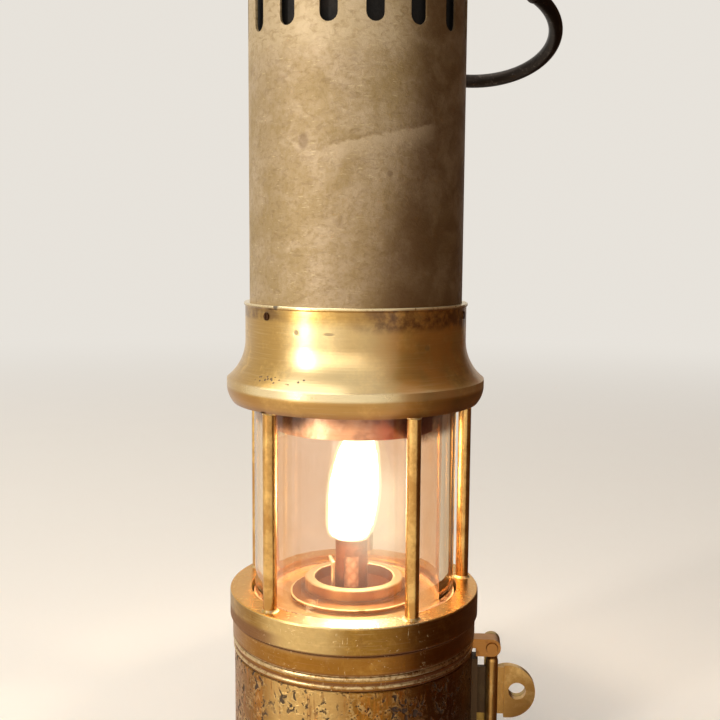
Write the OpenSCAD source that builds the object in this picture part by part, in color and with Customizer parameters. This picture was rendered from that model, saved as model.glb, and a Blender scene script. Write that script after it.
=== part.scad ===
// Bonneted miner's oil safety lamp in brass and tinned steel.
// Millimetres, +Z up, origin at the centre of the flat base, front of the lamp towards -Y.

/* [Oil vessel] */
// Height of the oil vessel up to the joint with the frame
vessel_h = 36.4; // [32:0.1:56]
// Thickness of the vessel's sheet wall
vessel_wall = 1.6; // [1:0.1:2.5]
// How far the foot moulding stands out from the vessel
foot_step = 1.1; // [0.7:0.1:3]
// Height of the foot moulding
foot_h = 4.2; // [2:0.1:8]
// Thickness of the flat base disc
base_t = 2; // [1:0.1:3]
// Wall thickness of the screwed neck on top of the vessel
neck_wall = 2.4; // [1.5:0.1:4]
// Thickness of the plate that closes the vessel
top_plate_t = 2; // [1.5:0.1:3.5]

/* [Burner] */
// Outer radius of the burner's screwed flange
burner_flange_r = 21.3; // [18.5:0.1:24]
// Height of the burner's screwed flange above the vessel plate
burner_flange_h = 2.8; // [2.5:0.1:6]
// Outer radius of the burner cup
burner_cup_r = 16.4; // [15.5:0.1:18]
// Inner radius of the burner cup
burner_cup_bore = 13.1; // [12.6:0.1:14]
// Height of the burner cup above its flange
burner_cup_h = 3.4; // [2:0.1:6]
// Radius of the burner's threaded boss in the vessel plate
burner_boss_r = 13.9; // [13:0.1:16]
// Outer radius of the wick tube
wick_tube_r = 5.5; // [4.6:0.05:5.8]
// Wall thickness of the wick tube
wick_tube_wall = 0.8; // [0.5:0.05:1]
// How far the wick tube rises above the burner cup
wick_tube_rise = 12.8; // [10:0.1:16]
// Width of the slot in the front of the wick tube
wick_slot_w = 4.8; // [3:0.1:6]
// How far the slot stops below the wick tube's top
wick_slot_land = 5.1; // [1:0.1:7]
// How far the wick stands above its tube
wick_rise = 1.5; // [0.5:0.1:4]

/* [Pricker] */
// Radius of the pricker's wire
pricker_r = 0.6; // [0.5:0.05:1]
// Length of the pricker's bent tip
pricker_tip = 6.6; // [5:0.1:6.8]
// Height of the pricker's tip above the burner cup
pricker_rise = 6.4; // [1.5:0.1:8]
// How far the pricker can be pushed up
pricker_travel = 10; // [4:0.5:11]
// Radius of the pricker's knob under the base
pricker_knob_r = 5.5; // [4:0.1:6.5]
// Thickness of the pricker's knob
pricker_knob_h = 5; // [3:0.1:6]
// Inner radius of the well that the knob lies in
knob_well_r = 8; // [7:0.1:9]

/* [Frame] */
// Width of the ring's top outside the pillars
ring_land = 1.75; // [1.2:0.05:5]
// How far the band below the flange is set back from it
band_inset = 0.8; // [0.3:0.1:1]
// How far the oil vessel is set back from the flange
vessel_inset = 1.4; // [1.2:0.1:2.4]
// Thickness of the ring's screwed wall
ring_wall = 3.5; // [2.5:0.1:4.5]
// Full height of the lower frame ring
ring_h = 20.4; // [18:0.1:27]
// Height of the ring's outer flange
ring_flange_h = 8.9; // [6:0.1:10]
// Height of the large bead above the ring's foot
bead_rise = 4; // [3.2:0.1:5]
// Radius of the large bead
bead_r = 0.85; // [0.5:0.05:1]
// Radius of the small bead below it
small_bead_r = 0.55; // [0.3:0.05:0.7]
// Thickness of the ring's top wall that carries the pillars
ring_top_t = 5; // [3:0.1:7]
// Number of pillars
pillar_n = 5; // [3:1:6]
// Radius of the pillars
pillar_r = 2.15; // [1.9:0.05:2.4]
// Clearance between the glass and the pillars
pillar_gap = 2.15; // [1.5:0.05:3]
// Free length of the pillars
pillar_l = 62.2; // [45:0.1:75]
// Angle of the first pillar
pillar_angle = 10; // [0:1:20]
// Radius of the pillars' riveted ends
pillar_spigot_r = 1.5; // [1:0.05:1.6]

/* [Shield collar] */
// Width of the collar's lower edge outside the pillars
collar_land = 0.3; // [0.2:0.05:1.5]
// How far the collar swells out above its lower edge
collar_swell = 2; // [1.6:0.1:4]
// Thickness of the collar's upright upper part round the bonnet
collar_neck_wall = 1.4; // [1.2:0.1:2.4]
// Full height of the collar
collar_h = 32; // [28:0.1:44]
// Height of the collar's rounded lower lip
collar_lip_h = 5.4; // [4:0.1:6.4]
// Height at which the collar begins to draw in
collar_flare_z = 7.6; // [7:0.1:8.2]
// Height at which the collar becomes upright
collar_neck_z = 20.1; // [18:0.1:22]
// Least thickness of the collar's wall
collar_wall = 2.4; // [1.8:0.1:2.6]
// How far the collar's top edge stands proud
collar_edge = 0.4; // [0.2:0.05:0.8]
// Radius of the air inlet holes under the collar
inlet_r = 1.6; // [1:0.1:1.7]
// Number of air inlet holes between two pillars
inlet_n = 3; // [1:1:3]

/* [Glass and gauzes] */
// Outer radius of the lamp glass
glass_r = 33; // [31.5:0.1:34]
// Thickness of the lamp glass
glass_wall = 4.5; // [3:0.1:5.5]
// Clearance round the glass in the ring's recess
glass_recess_gap = 1.2; // [0.9:0.1:2]
// Clearance round the glass in the collar
glass_seat_gap = 0.7; // [0.5:0.1:1.2]
// Depth of the vessel plate below the top of the lower frame ring
glass_sink = 3; // [2:0.1:4]
// How far the glass reaches into the collar
glass_rise = 1.8; // [1:0.1:2.6]
// Thickness of the leather washers at both ends of the glass
washer_t = 1.5; // [1:0.1:2]
// Thickness of the gauze ring's flange
gauze_flange_t = 2.5; // [1.5:0.1:3]
// Clearance between the glass and the gauze ring's throat
throat_gap = 3; // [1:0.1:5]
// How far the throat hangs below the collar
throat_drop = 8.7; // [4:0.1:14]
// How far the outer gauze's foot is set in from the throat
gauze_inset = 0.3; // [0.2:0.05:0.8]
// How far the outer gauze draws in towards its top
gauze_taper = 3.7; // [1:0.1:6]
// Height of the outer gauze
gauze_h = 112; // [80:1:116]
// Space between the two gauzes at their feet
gauze_space = 1.7; // [1.2:0.1:2.5]
// How far the inner gauze draws in towards its top
inner_gauze_taper = 4; // [1.5:0.1:6.5]
// Height of the inner gauze
inner_gauze_h = 103; // [70:1:106]
// Thickness of the wire gauze
gauze_t = 0.5; // [0.4:0.05:0.8]

/* [Bonnet] */
// Outer radius of the bonnet
bonnet_r = 34.25; // [34:0.05:34.8]
// Thickness of the bonnet's sheet
bonnet_wall = 0.9; // [0.6:0.05:1.2]
// Length of the bonnet's tube above the collar
bonnet_l = 109; // [96:0.5:150]
// Number of outlet slots round the top
slot_n = 16; // [8:1:20]
// Width of an outlet slot
slot_w = 5.4; // [3:0.1:6.5]
// Length of an outlet slot
slot_l = 21.5; // [12:0.5:28]
// Plain band between the slots and the top edge of the tube
slot_edge = 6.4; // [6:0.1:12]
// Turn of the slots about the lamp's axis
slot_turn = 8.5; // [0:0.5:22]
// Width of the bonnet's riveted lap seam
seam_w = 5; // [3:0.1:6]
// Height of the crown's turned-down skirt
crown_skirt_h = 5.2; // [3:0.1:5.8]
// Thickness of the crown's sheet
crown_t = 1; // [0.7:0.05:1.4]
// Rise of the crown's dome above its rim
dome_h = 3.6; // [2:0.1:6]
// Number of screws that hold the bonnet in the collar
bonnet_screw_n = 3; // [2:1:4]

/* [Hook] */
// Height of the hook's pivot above the crown's rim
pivot_rise = 19.8; // [16:0.1:26]
// Radius of the hook's wire
hook_wire_r = 2.6; // [1.6:0.05:2.7]
// Centreline radius of the hook's bow
hook_bow_r = 30.9; // [26:0.1:34]
// Length from the pivot to the middle of the bow
hook_l = 76.6; // [66:0.1:90]
// Angle that the hook's tip curls past the bow's half turn
hook_curl = 42; // [10:1:60]
// Centreline radius of the loop at the hook's foot
hook_loop_r = 7.5; // [7:0.1:9]
// Direction that the hook lies in, measured from the back towards the right
hook_yaw = 10.3; // [0:0.1:40]
// Radius of the swivel's shank
stud_r = 3; // [2:0.05:3.5]
// Centreline radius of the swivel's eye
eye_r = 5.4; // [5.3:0.05:5.6]
// Radius of the eye's own section
eye_wire_r = 2.5; // [2:0.05:2.5]

/* [Lock] */
// Direction of the lock, measured from the right side of the lamp
lock_angle = -5; // [-8:1:0]
// How far the hasp's pin stands out from the vessel
lock_reach = 6.4; // [5.8:0.1:7.2]
// Radius of the hasp's pin
hasp_pin_r = 1.5; // [1:0.05:1.7]
// Thickness of the hasp's plate
hasp_t = 2.2; // [1.6:0.1:3]
// Thickness of the vessel's ear
ear_t = 2.3; // [1.6:0.1:3]
// Radius of the ear's round end
ear_r = 9.1; // [8:0.1:9.5]
// Distance from the hasp's pin to the middle of the ear's round end
ear_reach = 5.7; // [5.4:0.1:8]
// How far the middle of the ear lies below the top of the vessel
ear_drop = 15.4; // [14.5:0.1:17]
// Distance from the middle of the ear's round end out to the rivet hole
hole_out = 3.1; // [0:0.1:4]
// Radius of the rivet hole through both ears
rivet_hole_r = 2.9; // [2:0.1:3.2]
// Radius of the upright bar on the vessel's ear
ear_bar_r = 2.05; // [1.4:0.05:2.1]

/* [Fits] */
// Radial clearance of turning and sliding fits
run_gap = 0.05; // [0.02:0.01:0.08]
// Clearance between pieces that lie side by side
side_gap = 0.3; // [0.2:0.05:0.4]
// Clearance between faces that rest on each other
seat_gap = 0.1; // [0.05:0.01:0.2]

/* [Hidden] */
$fn = 96;
edge = 0.6;

// Radii that build out from the glass
glass_bore_r = glass_r - glass_wall;
glass_seat_r = glass_r + glass_seat_gap;
glass_recess_r = glass_r + glass_recess_gap;
pillar_circle_r = glass_r + pillar_gap + pillar_r;
ring_r = pillar_circle_r + pillar_r + ring_land;
ring_band_r = ring_r - band_inset;
ring_bore_r = ring_band_r - ring_wall;
vessel_r = ring_r - vessel_inset;
ring_foot_r = vessel_r;
foot_r = vessel_r + foot_step;
collar_foot_r = pillar_circle_r + pillar_r + collar_land;
collar_r = collar_foot_r + collar_swell;
throat_r = glass_bore_r - throat_gap;
gauze_r = throat_r - gauze_inset;
inner_gauze_r = gauze_r - gauze_t - gauze_space;

// Levels up the lamp
ring_z = vessel_h + 2 * seat_gap;
ring_top_z = ring_z + ring_h;
plate_z = ring_top_z - glass_sink;
glass_z = plate_z + washer_t;
collar_z = ring_top_z + pillar_l;
glass_top_z = collar_z + glass_rise;
gauze_flange_z = glass_top_z + washer_t;
shelf_z = gauze_flange_z + gauze_flange_t;
collar_top_z = collar_z + collar_h;
tube_top_z = collar_top_z + bonnet_l;
rim_z = tube_top_z + seat_gap + crown_t;
pivot_z = rim_z + pivot_rise;

// Vessel and neck
vessel_bore_r = vessel_r - vessel_wall;
neck_flange_t = 1.5;
neck_r = ring_bore_r - run_gap;
neck_top_z = ring_top_z - ring_top_t - edge;
plate_r = glass_recess_r - edge;
well_wall = 1;
well_h = pricker_travel + pricker_knob_h + 3;

// Burner
wick_x = -1;
burner_boss_h = 4;
cup_floor_z = plate_z + 2.4;
cup_z = plate_z + burner_flange_h;
cup_top_z = cup_z + burner_cup_h;
wick_tube_top_z = cup_top_z + wick_tube_rise;
wick_tube_sink = 12;
wick_tube_foot_z = plate_z - wick_tube_sink;
wick_foot_gap = 16;
wick_foot_z = base_t + wick_foot_gap;
wick_r = wick_tube_r - wick_tube_wall - run_gap;
wick_slot_z = cup_top_z - 2.8;
wick_slot_top_z = wick_tube_top_z - wick_slot_land;

// Pricker
pricker_x = -6.9;
pricker_y = -7.6;
pricker_tube_r = 1.7;
pricker_aim = 100;
pricker_tip_z = cup_top_z + pricker_rise;
knob_z = 1.5;

// Frame
groove_w = 0.4;
bead_sink = 0.3;
small_bead_rise = 1.35;
shelf_bore_r = throat_r + 2;
shelf_t = 3;
spigot_l = 6;
chamber_top_r = bonnet_r - bonnet_wall - 0.05;
chamber_top_z = collar_z + collar_neck_z - 2.3;
bonnet_socket_r = bonnet_r + run_gap;
collar_neck_r = bonnet_socket_r + collar_neck_wall;
lip_r = (collar_swell * collar_swell + collar_lip_h * collar_lip_h) / (2 * collar_swell);
flare_dx = collar_r - collar_neck_r;
flare_dz = collar_neck_z - collar_flare_z;
flare_r = (flare_dx * flare_dx + flare_dz * flare_dz) / (2 * flare_dx);
flare_x = collar_neck_r + flare_r;
inlet_circle_r = glass_seat_r + inlet_r + 0.8;
inlet_step = 18;

// Gauzes
washer_in_r = glass_bore_r - 0.2;
washer_out_r = glass_r + 0.3;
gauze_flange_r = glass_seat_r - edge;
throat_wall = 1.5;
gauze_ledge_r = inner_gauze_r - 1.5;
gauze_socket_h = 6;
gauze_socket_wall = 1.2;

// Bonnet
slot_top_z = tube_top_z - slot_edge;
seam_t = 0.5;
seam_angle = slot_turn - 90 + 7.5 * 360 / slot_n;
rim_r = bonnet_r + run_gap + crown_t;
boss_r = 8.5;
screw_r = 1.2;
screw_z = collar_top_z - 3.4;
screw_angle = -139;

// Hook and swivel
stud_flange_r = 6.8;
stud_flange_t = 2;
rim_reach = sqrt(rim_r * rim_r + pivot_rise * pivot_rise);
hook_slope = atan(pivot_rise / rim_r) - asin((hook_wire_r + seat_gap) / rim_reach);
nut_w = 11;
nut_h = 3.4;
nut_washer_t = 0.9;

// Lock
ear_z = vessel_h - ear_drop;
hasp_pivot_x = vessel_r + lock_reach;
ear_x = hasp_pivot_x + ear_reach;
knuckle_r = 2.95;
hasp_pivot_z = ring_z + 0.5;
lug_w = 3.2;
lug_gap = 1.2;
ear_back_y = 2;
hasp_y = ear_back_y + side_gap;
hasp_ear_r = ear_r - 1;
hole_x = ear_x + hole_out;
hole_z = ear_z + 0.3;
hole_depth = 4 * (hasp_t + ear_t);
strap_w = 4.4;
strap_drop = 12;
strap_toe_h = 3.5;
ear_web_t = 1.6;
pad_t = 1.8;
pad_w = 6;
pad_h = 25;

// Points along an arc about c, from angle a0 to angle a1
function arc(c, r, a0, a1, n = 12) =
    [for (i = [0:n]) let (a = a0 + (a1 - a0) * i / n) [c[0] + r * cos(a), c[1] + r * sin(a)]];

// A plain ring or tube
module tube(outer, inner, z0, z1) {
    translate([0, 0, z0])
        difference() {
            cylinder(r = outer, h = z1 - z0);
            translate([0, 0, -1])
                cylinder(r = inner, h = z1 - z0 + 2);
        }
}

// A thin tapered gauze cap, closed at the top
module gauze_cap(foot_r, top_r, h) {
    translate([0, 0, shelf_z])
        rotate_extrude()
            polygon([
                [foot_r - gauze_t, 0],
                [foot_r, 0],
                [top_r, h],
                [0, h],
                [0, h - gauze_t],
                [top_r - gauze_t, h - gauze_t]
            ]);
}

// Places its children in the lock's plane: x outwards, y along the pin, z up
module at_lock() {
    rotate([0, 0, lock_angle])
        children();
}

// An upright plate in the lock's plane, from a drawing with x outwards and y up
module lock_plate(y, t) {
    translate([0, y + t, 0])
        rotate([90, 0, 0])
            linear_extrude(height = t)
                children();
}

// Direction of the middle of the bay after pillar i
function bay_angle(i) = pillar_angle + 360 * (i + 0.5) / pillar_n;

// Places its children at each pillar
module at_pillar(i) {
    rotate([0, 0, pillar_angle + 360 * i / pillar_n])
        translate([pillar_circle_r, 0, 0])
            children();
}

module oil_vessel() {
    color("goldenrod")
        rotate_extrude()
            polygon(concat(
                [[vessel_bore_r, 0], [foot_r - edge, 0]],
                arc([foot_r - edge, edge], edge, -90, 0, 4),
                arc([foot_r - edge, foot_h - edge], edge, 0, 90, 4),
                [
                    [vessel_r, foot_h],
                    [vessel_r, vessel_h - edge / 2],
                    [vessel_r - edge / 2, vessel_h],
                    [vessel_bore_r, vessel_h]
                ]
            ));
}

module vessel_base() {
    color("darkgoldenrod") {
        difference() {
            cylinder(r = vessel_bore_r, h = base_t);
            translate([pricker_x, pricker_y, -1])
                cylinder(r = knob_well_r, h = base_t + 2);
        }
        translate([pricker_x, pricker_y, 0])
            difference() {
                cylinder(r = knob_well_r + well_wall, h = well_h);
                translate([0, 0, -1])
                    cylinder(r = knob_well_r, h = well_h - well_wall + 1);
                cylinder(r = pricker_r + run_gap, h = well_h + 1);
            }
    }
}

module vessel_neck() {
    neck_in_r = neck_r - neck_wall;
    color("goldenrod")
        rotate_extrude()
            polygon([
                [neck_in_r, vessel_h - neck_flange_t],
                [vessel_bore_r, vessel_h - neck_flange_t],
                [vessel_bore_r, vessel_h],
                [neck_r, vessel_h],
                [neck_r, neck_top_z - edge],
                [neck_r - edge, neck_top_z],
                [plate_r, neck_top_z],
                [plate_r, plate_z],
                [burner_boss_r, plate_z],
                [burner_boss_r, plate_z - top_plate_t],
                [plate_r - neck_wall, plate_z - top_plate_t],
                [neck_in_r, neck_top_z - neck_wall]
            ]);
}

module burner_flange() {
    color("peru")
        difference() {
            rotate_extrude()
                polygon([
                    [0, plate_z - burner_boss_h],
                    [burner_boss_r, plate_z - burner_boss_h],
                    [burner_boss_r, plate_z],
                    [burner_flange_r - edge, plate_z],
                    [burner_flange_r, plate_z + edge],
                    [burner_flange_r, cup_z - 2 * edge],
                    [burner_cup_r + 2 * edge, cup_z - edge],
                    [burner_cup_r + edge, cup_z],
                    [burner_cup_bore, cup_z],
                    [burner_cup_bore, cup_floor_z],
                    [0, cup_floor_z]
                ]);
            translate([wick_x, 0, plate_z - burner_boss_h - 1])
                cylinder(r = wick_tube_r, h = burner_flange_h + burner_boss_h + 2);
            translate([pricker_x, pricker_y, plate_z - burner_boss_h - 1])
                cylinder(r = pricker_tube_r, h = burner_flange_h + burner_boss_h + 2);
        }
}

module burner_cup() {
    color("goldenrod")
        rotate_extrude()
            polygon(concat(
                [[burner_cup_bore, cup_z], [burner_cup_r, cup_z]],
                arc([burner_cup_r - edge, cup_top_z - edge], edge, 0, 90, 4),
                arc([burner_cup_bore + edge, cup_top_z - edge], edge, 90, 180, 4)
            ));
}

module wick_tube() {
    color("sienna")
        translate([wick_x, 0, 0])
            difference() {
                tube(wick_tube_r, wick_tube_r - wick_tube_wall, wick_tube_foot_z, wick_tube_top_z);
                translate([-wick_slot_w / 2, -wick_tube_r - 1, wick_slot_z])
                    cube([wick_slot_w, wick_tube_r + 1, wick_slot_top_z - wick_slot_z]);
            }
}

module wick() {
    color("dimgray")
        translate([wick_x, 0, 0])
            rotate_extrude()
                polygon(concat(
                    [[0, wick_foot_z], [wick_r, wick_foot_z]],
                    arc([wick_r - edge, wick_tube_top_z + wick_rise - edge], edge, 0, 90, 4),
                    [[0, wick_tube_top_z + wick_rise]]
                ));
}

module pricker_tube() {
    color("goldenrod")
        translate([pricker_x, pricker_y, 0])
            tube(pricker_tube_r, pricker_r + run_gap, well_h, cup_floor_z + 1);
}

module pricker_knob() {
    color("goldenrod")
        translate([pricker_x, pricker_y, knob_z])
            difference() {
                rotate_extrude()
                    polygon(concat(
                        [[0, 0]],
                        arc([pricker_knob_r - edge, edge], edge, -90, 0, 4),
                        arc([pricker_knob_r + 1.2, pricker_knob_h / 2], 1.6, 222, 138, 6),
                        arc([pricker_knob_r - edge, pricker_knob_h - edge], edge, 0, 90, 4),
                        [[0, pricker_knob_h]]
                    ));
                translate([0, 0, edge])
                    cylinder(r = pricker_r + run_gap, h = pricker_knob_h);
            }
}

module pricker_rod() {
    rod_foot_z = knob_z + edge + seat_gap;
    color("silver")
        translate([pricker_x, pricker_y, 0])
            rotate([0, 0, pricker_aim]) {
                translate([0, 0, rod_foot_z])
                    cylinder(r = pricker_r, h = pricker_tip_z - rod_foot_z);
                translate([0, 0, pricker_tip_z])
                    sphere(r = pricker_r);
                translate([0, 0, pricker_tip_z])
                    rotate([0, 90, 0])
                        cylinder(r = pricker_r, h = pricker_tip);
                translate([pricker_tip, 0, pricker_tip_z])
                    sphere(r = pricker_r);
            }
}

module lower_glass_washer() {
    color("saddlebrown")
        tube(washer_out_r, washer_in_r, plate_z, glass_z);
}

module upper_glass_washer() {
    color("saddlebrown")
        tube(washer_out_r, washer_in_r, glass_top_z, gauze_flange_z);
}

module lamp_glass() {
    color("lightblue", 0.4)
        rotate_extrude()
            polygon([
                [glass_bore_r, glass_z],
                [glass_r - edge, glass_z],
                [glass_r, glass_z + edge],
                [glass_r, glass_top_z - edge],
                [glass_r - edge, glass_top_z],
                [glass_bore_r, glass_top_z]
            ]);
}

module gauze_ring() {
    throat_z = collar_z - throat_drop;
    color("darkgoldenrod") {
        rotate_extrude()
            polygon([
                [throat_r - throat_wall, throat_z],
                [throat_r, throat_z],
                [throat_r, gauze_flange_z],
                [gauze_flange_r, gauze_flange_z],
                [gauze_flange_r, shelf_z],
                [gauze_r + gauze_socket_wall, shelf_z],
                [gauze_r + gauze_socket_wall, shelf_z + gauze_socket_h],
                [gauze_r, shelf_z + gauze_socket_h],
                [gauze_r, shelf_z],
                [gauze_ledge_r, shelf_z],
                [gauze_ledge_r, gauze_flange_z],
                [throat_r - throat_wall, gauze_flange_z]
            ]);
    }
}

module outer_gauze() {
    color("dimgray")
        gauze_cap(gauze_r, gauze_r - gauze_taper, gauze_h);
}

module inner_gauze() {
    color("gray")
        gauze_cap(inner_gauze_r, inner_gauze_r - inner_gauze_taper, inner_gauze_h);
}

// Sections of the two beads round the ring's foot
module bead_sections() {
    translate([ring_foot_r - bead_sink, ring_z + bead_rise])
        circle(r = bead_r);
    translate([ring_foot_r - bead_sink / 2, ring_z + small_bead_rise])
        circle(r = small_bead_r);
}

module lower_frame_ring() {
    flange_z = ring_top_z - ring_flange_h;
    shoulder_z = ring_top_z - ring_top_t;
    step_z = ring_z + bead_rise + bead_r + edge;
    color("goldenrod")
        difference() {
            rotate_extrude() {
                bead_sections();
                polygon(concat(
                    [
                        [ring_bore_r, ring_z],
                        [ring_foot_r - edge / 2, ring_z],
                        [ring_foot_r, ring_z + edge / 2],
                        [ring_foot_r, step_z],
                        [ring_band_r, step_z],
                        [ring_band_r, flange_z - groove_w],
                        [ring_band_r - groove_w, flange_z - groove_w],
                        [ring_band_r - groove_w, flange_z]
                    ],
                    arc([ring_r - edge, flange_z + edge], edge, -90, 0, 4),
                    arc([ring_r - edge, ring_top_z - edge], edge, 0, 90, 4),
                    [
                        [glass_recess_r, ring_top_z],
                        [glass_recess_r, shoulder_z],
                        [ring_bore_r, shoulder_z]
                    ]
                ));
            }
            for (i = [0:pillar_n - 1])
                at_pillar(i)
                    translate([0, 0, shoulder_z - 1])
                        cylinder(r = pillar_spigot_r, h = ring_top_t + 2);
        }
}

module pillar(i) {
    color("goldenrod")
        at_pillar(i) {
            translate([0, 0, ring_top_z])
                cylinder(r = pillar_r, h = pillar_l);
            translate([0, 0, ring_top_z - ring_top_t])
                cylinder(r = pillar_spigot_r, h = pillar_l + ring_top_t + spigot_l);
        }
}

module shield_collar() {
    lip_c = [collar_r - lip_r, collar_z + collar_lip_h];
    flare_c = [flare_x, collar_z + collar_neck_z];
    chamber_r = flare_r + collar_wall;
    flare_a = asin(flare_dz / flare_r);
    chamber_a0 = asin((flare_c[1] - chamber_top_z) / chamber_r);
    chamber_a1 = asin((flare_c[1] - shelf_z - shelf_t) / chamber_r);
    edge_z = collar_top_z - 2 * collar_edge;
    color("goldenrod")
        difference() {
            rotate_extrude()
                polygon(concat(
                    [[glass_seat_r, collar_z]],
                    arc(lip_c, lip_r, -asin(collar_lip_h / lip_r), 0),
                    arc(flare_c, flare_r, 180 + flare_a, 180, 16),
                    [
                        [collar_neck_r, edge_z - collar_edge],
                        [collar_neck_r + collar_edge, edge_z],
                        [collar_neck_r + collar_edge, collar_top_z - collar_edge / 2],
                        [collar_neck_r + collar_edge / 2, collar_top_z],
                        [bonnet_socket_r, collar_top_z],
                        [bonnet_socket_r, chamber_top_z],
                        [chamber_top_r, chamber_top_z]
                    ],
                    arc(flare_c, chamber_r, 180 + chamber_a0, 180 + chamber_a1, 8),
                    [
                        [shelf_bore_r, shelf_z + shelf_t],
                        [shelf_bore_r, shelf_z],
                        [glass_seat_r, shelf_z]
                    ]
                ));
            for (i = [0:pillar_n - 1]) {
                at_pillar(i)
                    translate([0, 0, collar_z - 1])
                        cylinder(r = pillar_spigot_r, h = spigot_l + 1);
                for (k = [1:inlet_n])
                    rotate([0, 0, bay_angle(i) + inlet_step * (k - (inlet_n + 1) / 2)])
                        translate([inlet_circle_r, 0, collar_z - 1])
                            cylinder(r = inlet_r, h = shelf_z + shelf_t - collar_z + 2);
            }
            for (i = [0:bonnet_screw_n - 1])
                rotate([0, 0, screw_angle + 360 * i / bonnet_screw_n])
                    translate([0, 0, screw_z])
                        rotate([0, 90, 0])
                            cylinder(r = screw_r + run_gap, h = 2 * collar_r);
        }
}

// Cuts one outlet slot with round ends through the side of the tube
module slot_cutter() {
    slot_round = slot_w / 2;
    translate([bonnet_r - bonnet_wall - 2, 0, 0])
        rotate([90, 0, 90])
            linear_extrude(height = bonnet_wall + 4)
                polygon(concat(
                    arc([0, slot_top_z - slot_round], slot_round, 0, 180, 10),
                    arc([0, slot_top_z - slot_l + slot_round], slot_round, 180, 360, 10)
                ));
}

module bonnet_tube() {
    seam_turn = seam_w / bonnet_r * 180 / PI;
    color("tan")
        difference() {
            union() {
                tube(bonnet_r, bonnet_r - bonnet_wall, chamber_top_z, tube_top_z);
                rotate([0, 0, seam_angle - seam_turn / 2])
                    rotate_extrude(angle = seam_turn)
                        translate([bonnet_r - bonnet_wall / 2, collar_top_z + side_gap])
                            square([bonnet_wall / 2 + seam_t, bonnet_l - crown_skirt_h - 2 * side_gap]);
            }
            for (i = [0:slot_n - 1])
                rotate([0, 0, slot_turn - 90 + 360 * i / slot_n])
                    slot_cutter();
            for (i = [0:bonnet_screw_n - 1])
                rotate([0, 0, screw_angle + 360 * i / bonnet_screw_n])
                    translate([0, 0, screw_z])
                        rotate([0, 90, 0])
                            cylinder(r = screw_r + run_gap, h = 2 * bonnet_r);
        }
}

module bonnet_crown() {
    dome_base_r = rim_r - 2 * edge;
    dome_r = (dome_base_r * dome_base_r + dome_h * dome_h) / (2 * dome_h);
    dome_c = [0, rim_z + dome_h - dome_r];
    dome_a = atan(dome_base_r / (dome_r - dome_h));
    boss_a = asin(boss_r / dome_r);
    boss_z = rim_z + dome_h;
    skirt_in_r = bonnet_r + run_gap;
    color("tan")
        difference() {
            rotate_extrude()
                polygon(concat(
                    [[skirt_in_r, tube_top_z - crown_skirt_h], [rim_r, tube_top_z - crown_skirt_h]],
                    arc([rim_r - edge, rim_z - edge], edge, 0, 90, 4),
                    arc(dome_c, dome_r, 90 - dome_a, 90 - boss_a, 6),
                    [[boss_r, boss_z], [0, boss_z], [0, boss_z - crown_t], [boss_r, boss_z - crown_t]],
                    arc(dome_c, dome_r - crown_t, 90 - boss_a, 90 - dome_a, 6),
                    [[skirt_in_r, rim_z - crown_t]]
                ));
            translate([0, 0, rim_z])
                cylinder(r = stud_r + run_gap, h = dome_h + 2, center = true);
            translate([0, 0, boss_z - 2 * crown_t])
                cylinder(r = stud_r + run_gap, h = 3 * crown_t);
        }
}

module bonnet_screws() {
    screw_reach = collar_neck_r + 0.3;
    color("dimgray")
        for (i = [0:bonnet_screw_n - 1])
            rotate([0, 0, screw_angle + 360 * i / bonnet_screw_n])
                translate([bonnet_r - bonnet_wall, 0, screw_z])
                    rotate([0, 90, 0])
                        difference() {
                            cylinder(r = screw_r, h = screw_reach - bonnet_r + bonnet_wall);
                            translate([-screw_r - 1, -0.2, screw_reach - bonnet_r + bonnet_wall - 0.4])
                                cube([2 * screw_r + 2, 0.4, 1]);
                        }
}

module swivel_eye() {
    flange_z = rim_z + dome_h + seat_gap;
    stud_foot_z = rim_z + dome_h - crown_t - nut_washer_t - nut_h - 2 * seat_gap - 1;
    color("dimgray") {
        translate([0, 0, stud_foot_z])
            cylinder(r = stud_r, h = pivot_z - eye_r - stud_foot_z);
        translate([0, 0, flange_z])
            cylinder(r1 = stud_flange_r, r2 = stud_flange_r - edge, h = stud_flange_t);
        translate([0, 0, pivot_z])
            rotate([0, 0, 90 - hook_yaw])
                rotate([90, 0, 0])
                    rotate_extrude()
                        translate([eye_r, 0])
                            circle(r = eye_wire_r);
    }
}

module swivel_washer() {
    washer_top_z = rim_z + dome_h - crown_t - seat_gap;
    color("darkgoldenrod")
        tube(stud_flange_r, stud_r + run_gap, washer_top_z - nut_washer_t, washer_top_z);
}

module swivel_nut() {
    nut_top_z = rim_z + dome_h - crown_t - nut_washer_t - 2 * seat_gap;
    color("darkgoldenrod")
        translate([0, 0, nut_top_z - nut_h])
            difference() {
                cylinder(d = nut_w, h = nut_h, $fn = 6);
                translate([0, 0, -1])
                    cylinder(r = stud_r, h = nut_h + 2);
            }
}

module hook() {
    loop_wire_r = hook_wire_r - 0.15;
    color("dimgray")
        translate([0, 0, pivot_z])
            rotate([0, hook_slope, 90 - hook_yaw]) {
                translate([hook_loop_r, 0, 0])
                    rotate_extrude()
                        translate([hook_loop_r, 0])
                            circle(r = loop_wire_r);
                translate([2 * hook_loop_r - edge, 0, 0])
                    rotate([0, 90, 0])
                        cylinder(r = hook_wire_r, h = hook_l - 2 * hook_loop_r + edge);
                translate([hook_l, -hook_bow_r, 0])
                    rotate([0, 0, 90])
                        mirror([0, 1, 0]) {
                            rotate_extrude(angle = 180 + hook_curl)
                                translate([hook_bow_r, 0])
                                    circle(r = hook_wire_r);
                            rotate([0, 0, 180 + hook_curl])
                                translate([hook_bow_r, 0, 0])
                                    sphere(r = hook_wire_r + 0.4);
                        }
            }
}

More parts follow.
